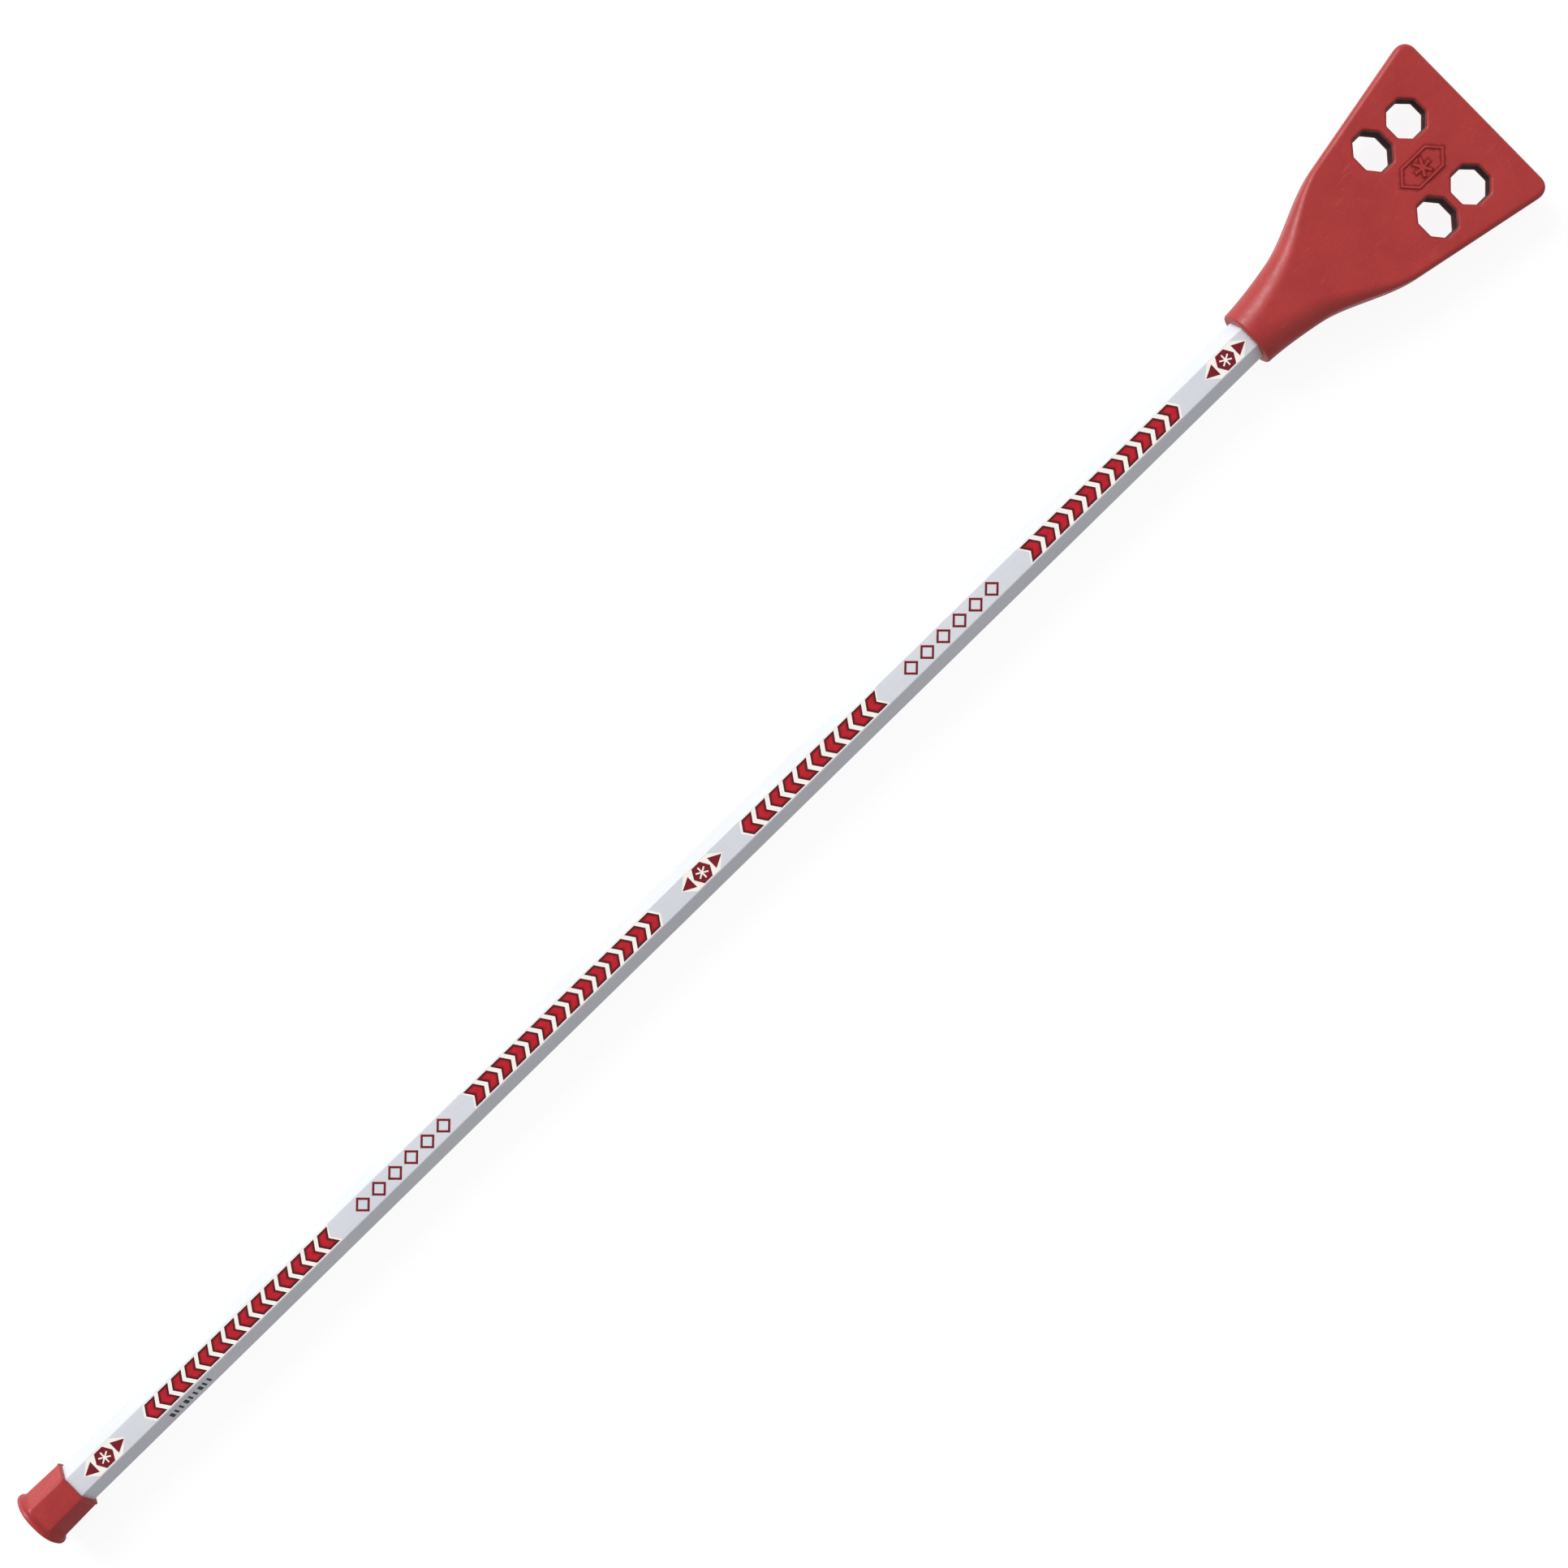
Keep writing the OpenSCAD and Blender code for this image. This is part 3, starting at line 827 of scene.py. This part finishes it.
class Shader:
    """A material's node tree, with short ways to add the nodes used here."""

    def __init__(self, name, **sockets):
        self.material = bpy.data.materials.new(name)
        self.material.use_nodes = True
        self.tree = self.material.node_tree
        self.surface = self.tree.nodes["Principled BSDF"]
        for socket, value in sockets.items():
            self.surface.inputs[socket.replace("_", " ")].default_value = value
        self.place = self.node("ShaderNodeTexCoord").outputs["Object"]
        self.normal = None

    def node(self, kind, **settings):
        """Adds a node of this kind and sets its properties."""
        made = self.tree.nodes.new(kind)
        for key, value in settings.items():
            setattr(made, key, value)
        return made

    def link(self, source, target):
        self.tree.links.new(source, target)

    def noise(self, scale, detail, rough=0.5):
        """Noise with one scale for all axes, or a tuple with one for each."""
        made = self.node("ShaderNodeTexNoise")
        made.inputs["Detail"].default_value = detail
        made.inputs["Roughness"].default_value = rough
        place = self.place
        if isinstance(scale, tuple):
            mapping = self.node("ShaderNodeMapping")
            mapping.inputs["Scale"].default_value = scale
            self.link(place, mapping.inputs["Vector"])
            place, scale = mapping.outputs["Vector"], 1.0
        made.inputs["Scale"].default_value = scale
        self.link(place, made.inputs["Vector"])
        return made.outputs["Fac"]

    def remap(self, value, low, high, to_low=0.0, to_high=1.0):
        """Maps low..high to to_low..to_high, clamped."""
        made = self.node("ShaderNodeMapRange", clamp=True)
        for socket, v in zip(("From Min", "From Max", "To Min", "To Max"),
                             (low, high, to_low, to_high)):
            made.inputs[socket].default_value = v
        self.link(value, made.inputs["Value"])
        return made.outputs["Result"]

    def blend(self, share, a, b):
        """Mixes two colours, each a tuple or a socket."""
        made = self.node("ShaderNodeMix", data_type="RGBA")
        self.link(share, made.inputs["Factor"])
        for socket, v in ((made.inputs[MIX_A], a), (made.inputs[MIX_B], b)):
            if isinstance(v, tuple):
                socket.default_value = (*v, 1.0)
            else:
                self.link(v, socket)
        return made.outputs[MIX_RESULT]

    def maths(self, how, a, b=0.0):
        """A Math node's result for two numbers or sockets."""
        made = self.node("ShaderNodeMath", operation=how)
        for socket, v in zip(made.inputs, (a, b)):
            if isinstance(v, (int, float)):
                socket.default_value = v
            else:
                self.link(v, socket)
        return made.outputs[0]

    def bump(self, height, distance, strength):
        """Adds a bump on top of those before it."""
        made = self.node("ShaderNodeBump")
        made.inputs["Distance"].default_value = distance
        made.inputs["Strength"].default_value = strength
        self.link(height, made.inputs["Height"])
        if self.normal is not None:
            self.link(self.normal, made.inputs["Normal"])
        self.normal = made.outputs["Normal"]
        self.link(self.normal, self.surface.inputs["Normal"])

    def attribute(self, name):
        """A value that the mesh carries at each of its points."""
        return self.node("ShaderNodeAttribute", attribute_name=name).outputs["Fac"]

    def colour(self, source):
        self.link(source, self.surface.inputs["Base Color"])

    def rough(self, source):
        self.link(source, self.surface.inputs["Roughness"])


def red_moulding(name, body, deep, pale):
    """Satin red rubber: cloudy pigment, a fine moulded grain, faint rubs, a parting line and
    painted shade, a near-black tone with less sheen, wherever the mesh is marked for it."""
    s = Shader(name)
    clouds = s.noise(34.0, detail=4.0, rough=0.55)
    tone = s.blend(s.remap(clouds, 0.32, 0.68), deep, body)
    specks = s.remap(s.noise(1500.0, detail=2.0), 0.60, 0.74, 0.0, 0.35)
    tone = s.blend(specks, tone, pale)
    rubs = s.remap(s.noise((90.0, 420.0, 300.0), detail=5.0, rough=0.6), 0.60, 0.76, 0.0, 0.28)
    tone = s.blend(rubs, tone, pale)
    # Painted shade: darkens the holes' walls and the mark's foot and dulls their sheen.
    painted_shade = s.attribute("painted_shade")
    s.colour(s.blend(painted_shade, tone, PAINTED_SHADE))
    gloss = s.remap(painted_shade, 0.0, 1.0, GLOSS_CLEAN, GLOSS_IN_PAINTED_SHADE)
    s.link(gloss, s.surface.inputs["Specular IOR Level"])
    s.rough(s.maths("ADD", s.remap(s.noise(260.0, detail=4.0), 0.3, 0.7, 0.38, 0.50), rubs))
    s.bump(s.noise(900.0, detail=3.0, rough=0.6), 0.12 * MM, 0.55)
    s.bump(clouds, 0.6 * MM, 0.35)
    split = s.node("ShaderNodeSeparateXYZ")
    s.link(s.place, split.inputs[0])
    off_seam = s.maths("ABSOLUTE", s.maths("SUBTRACT", split.outputs["Z"], AXIS_Z))
    s.bump(s.remap(off_seam, 0.12 * MM, 0.5 * MM, 1.0, 0.0), 0.25 * MM, 0.8)
    return s.material


def white_lacquer():
    """Cool white lacquer on a drawn tube: faint draw lines, orange peel and hairline rubs."""
    s = Shader("shaft_paint", Specular_IOR_Level=0.4, Coat_Weight=0.15, Coat_Roughness=0.12)
    drawn = s.noise((3.0, 900.0, 900.0), detail=3.0)
    base = s.blend(s.remap(s.noise(9.0, detail=3.0), 0.35, 0.65), LACQUER_DEEP, LACQUER)
    base = s.blend(s.remap(drawn, 0.35, 0.75, 0.0, 0.16), base, LACQUER_DRAWN)
    rubs = s.remap(s.noise((26.0, 700.0, 700.0), detail=4.0, rough=0.65), 0.68, 0.80, 0.0, 0.16)
    s.colour(s.blend(rubs, base, LACQUER_RUBBED))
    s.rough(s.maths("ADD", s.remap(s.noise(120.0, detail=3.0), 0.3, 0.7, 0.24, 0.33), rubs))
    s.bump(drawn, 0.02 * MM, 0.3)
    s.bump(s.noise(300.0, detail=2.0), 0.03 * MM, 0.3)
    return s.material


def bare_aluminium():
    """Bare metal with fine lines along the tube."""
    s = Shader("bare_aluminium", Metallic=1.0)
    lines = s.noise((14.0, 1600.0, 1600.0), detail=4.0, rough=0.6)
    s.colour(s.blend(s.remap(lines, 0.3, 0.7), ALUMINIUM_DEEP, ALUMINIUM))
    s.rough(s.remap(lines, 0.3, 0.7, 0.30, 0.48))
    s.bump(lines, 0.05 * MM, 0.6)
    return s.material


def film_finish(s):
    """The sheen of printed film, with tiny pin marks."""
    s.rough(s.remap(s.noise(650.0, detail=3.0), 0.3, 0.7, *FILM_ROUGH))
    s.bump(s.noise(800.0, detail=2.0), 0.02 * MM, 0.5)
    return s.material


def plain_film(name, light, dark):
    """Printed film: even ink with a slight mottle."""
    s = Shader(name, **FILM)
    s.colour(s.blend(s.remap(s.noise(210.0, detail=4.0, rough=0.6), 0.3, 0.7), dark, light))
    return film_finish(s)


def red_film():
    """Red ink that darkens to maroon at each chevron's border."""
    s = Shader("film_red", **FILM)
    mottle = s.remap(s.noise(240.0, detail=4.0, rough=0.6), 0.3, 0.7)
    heart = s.blend(mottle, INK_RED_DEEP, INK_RED)
    s.colour(s.blend(s.remap(s.attribute("depth"), BORDER_FROM, BORDER_TO), INK_BORDER, heart))
    return film_finish(s)


def zinc():
    """Dull zinc plate with small patches."""
    s = Shader("screw_steel", Metallic=1.0)
    patches = s.noise(700.0, detail=4.0, rough=0.6)
    s.colour(s.blend(s.remap(patches, 0.3, 0.7), ZINC_DEEP, ZINC))
    s.rough(s.remap(patches, 0.3, 0.7, 0.28, 0.5))
    s.bump(s.noise(2400.0, detail=3.0), 0.03 * MM, 0.6)
    return s.material


def timber():
    """Raw timber with its grain along the stick."""
    s = Shader("plug_timber")
    grain = s.noise((20.0, 500.0, 260.0), detail=5.0, rough=0.65)
    s.colour(s.blend(s.remap(grain, 0.3, 0.7), TIMBER_DEEP, TIMBER))
    s.rough(s.remap(grain, 0.3, 0.7, 0.55, 0.75))
    s.bump(grain, 0.2 * MM, 0.7)
    return s.material


# ---- putting it together ----


def wear(piece, *materials):
    """Gives a piece its materials in place of any that it has."""
    piece.data.materials.clear()
    for material in materials:
        piece.data.materials.append(material)


def settle(piece, body, node):
    """Hangs a piece under its body's empty and hides the CAD node that it stands in for."""
    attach(piece, body)
    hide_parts(node)


def dress_cad_node(node, material):
    """Gives a CAD node that stays in sight its material."""
    piece = frame["nodes"][node]
    for slot in piece.material_slots:
        slot.material = material


def build_object():
    """Every visible piece with its materials and its body, with the CAD node it replaces hidden."""
    head = build_head()
    wear(head, red_moulding("head_rubber", *HEAD_REDS))
    settle(head, STICK, "head")

    cap = build_cap()
    wear(cap, red_moulding("cap_rubber", *CAP_REDS))
    settle(cap, CAP, "butt_cap")

    tube = build_tube()
    index = [face.material_index for face in tube.data.polygons]
    wear(tube, white_lacquer(), bare_aluminium())
    tube.data.polygons.foreach_set("material_index", index)
    settle(tube, STICK, "shaft_tube")

    ink = red_film()
    for node, number, way in BANDS:
        row = build_chevrons(node, number, way)
        wear(row, ink)
        settle(row, STICK, node)

    looks = {
        "film_cream": plain_film("film_cream", CREAM, CREAM_DEEP),
        "film_maroon": plain_film("film_maroon", MAROON, MAROON_DEEP),
        "film_grey": plain_film("film_grey", GREY, GREY_DEEP),
        "screw_steel": zinc(),
        "plug_timber": timber(),
    }
    for part in frame["record"]["subparts"]:
        if part["material_slot"] in looks:
            dress_cad_node(part["node"], looks[part["material_slot"]])


# ---- stage ----

FLOOR_SIZE, FLOOR_GLOW, FLOOR_SHADE, FLOOR_ROUGH = 40.0, 0.90, 0.12, 0.9
BACKDROP_R, BACKDROP_FOOT = 19.0, -0.1
BACKDROP_AROUND, BACKDROP_UP = 96, 48

# The studio's glow above the horizon, and below it on the stick's left and right. The glow
# changes from side to side and at the horizon over these parts of a direction's y and z.
STUDIO_ABOVE, STUDIO_LEFT, STUDIO_RIGHT = 0.53, 1.2, 0.3
STUDIO_SIDES, STUDIO_HORIZON = 0.87, 0.2
KEY_FROM, KEY_POWER, KEY_SPREAD = (0.0, 0.79, 0.62), 2.30, 28.0

# The camera looks straight down from this height above the shaft's axis, over this (x, y).
CAMERA_HEIGHT, CAMERA_OVER = 2.0, (0.0276, 0.0039)
CAMERA_ROLL, CAMERA_LENS = 44.39, 68.61


def build_backdrop():
    """A pale dome round the floor, seen by the camera but out of the way of all the light."""
    bm = bmesh.new()
    bmesh.ops.create_uvsphere(
        bm, u_segments=BACKDROP_AROUND, v_segments=BACKDROP_UP, radius=BACKDROP_R
    )
    low = [v for v in bm.verts if v.co.z < BACKDROP_FOOT]
    bmesh.ops.delete(bm, geom=low, context="VERTS")
    backdrop = object_from(bm, "backdrop")
    backdrop.visible_shadow = False
    backdrop.visible_transmission = False
    return backdrop


def build_floor():
    """A wide plane on the ground."""
    bpy.ops.mesh.primitive_plane_add(size=FLOOR_SIZE)
    floor = bpy.context.object
    floor.name = "floor"
    return floor


def build_studio():
    """Even light from above, and light from below that is stronger on the stick's left."""
    world = bpy.data.worlds.new("studio")
    world.use_nodes = True
    nodes, links = world.node_tree.nodes, world.node_tree.links
    way = nodes.new("ShaderNodeTexCoord")
    split = nodes.new("ShaderNodeSeparateXYZ")
    level = nodes.new("ShaderNodeMapRange")
    below = nodes.new("ShaderNodeMapRange")
    ranges = ((below, (-STUDIO_SIDES, STUDIO_SIDES, STUDIO_RIGHT, STUDIO_LEFT)),
              (level, (-STUDIO_HORIZON, STUDIO_HORIZON, 0.0, STUDIO_ABOVE)))
    for node, values in ranges:
        for socket, value in zip(("From Min", "From Max", "To Min", "To Max"), values):
            node.inputs[socket].default_value = value
    links.new(way.outputs["Generated"], split.inputs[0])
    links.new(split.outputs["Y"], below.inputs["Value"])
    links.new(below.outputs["Result"], level.inputs["To Min"])
    links.new(split.outputs["Z"], level.inputs["Value"])
    links.new(level.outputs["Result"], nodes["Background"].inputs["Strength"])
    nodes["Background"].inputs["Color"].default_value = WHITE
    bpy.context.scene.world = world


def build_key():
    """One broad light from the stick's left."""
    light = bpy.data.lights.new("key", "SUN")
    light.energy, light.angle = KEY_POWER, math.radians(KEY_SPREAD)
    key = bpy.data.objects.new("key", light)
    bpy.context.collection.objects.link(key)
    key.rotation_euler = (-Vector(KEY_FROM)).to_track_quat("-Z", "Y").to_euler()


def build_stage():
    """A white floor and dome that neither shade nor tint the stick, a soft studio and a key."""
    pale = Shader("floor_pale", Roughness=FLOOR_ROUGH, Specular_IOR_Level=0.0,
                  Emission_Strength=FLOOR_GLOW, Emission_Color=WHITE,
                  Base_Color=(FLOOR_SHADE, FLOOR_SHADE, FLOOR_SHADE, 1.0))
    for piece in (build_floor(), build_backdrop()):
        piece.visible_diffuse = piece.visible_glossy = False
        piece.data.materials.append(pale.material)
    build_studio()
    build_key()


def build_camera():
    """Straight down on the stick, turned so that the head points to the upper right."""
    roll = math.radians(CAMERA_ROLL)
    right = Vector((math.cos(roll), -math.sin(roll), 0.0))
    up = Vector((math.sin(roll), math.cos(roll), 0.0))
    camera = bpy.data.objects.new("camera", bpy.data.cameras.new("camera"))
    bpy.context.collection.objects.link(camera)
    camera.data.lens = CAMERA_LENS
    turn = Matrix((right, up, right.cross(up))).transposed()
    place = Matrix.Translation((*CAMERA_OVER, AXIS_Z + CAMERA_HEIGHT))
    camera.matrix_world = place @ turn.to_4x4()
    bpy.context.scene.camera = camera


build_object()
build_stage()
build_camera()
bpy.context.scene.view_settings.view_transform = "Standard"

bpy.context.view_layer.update()
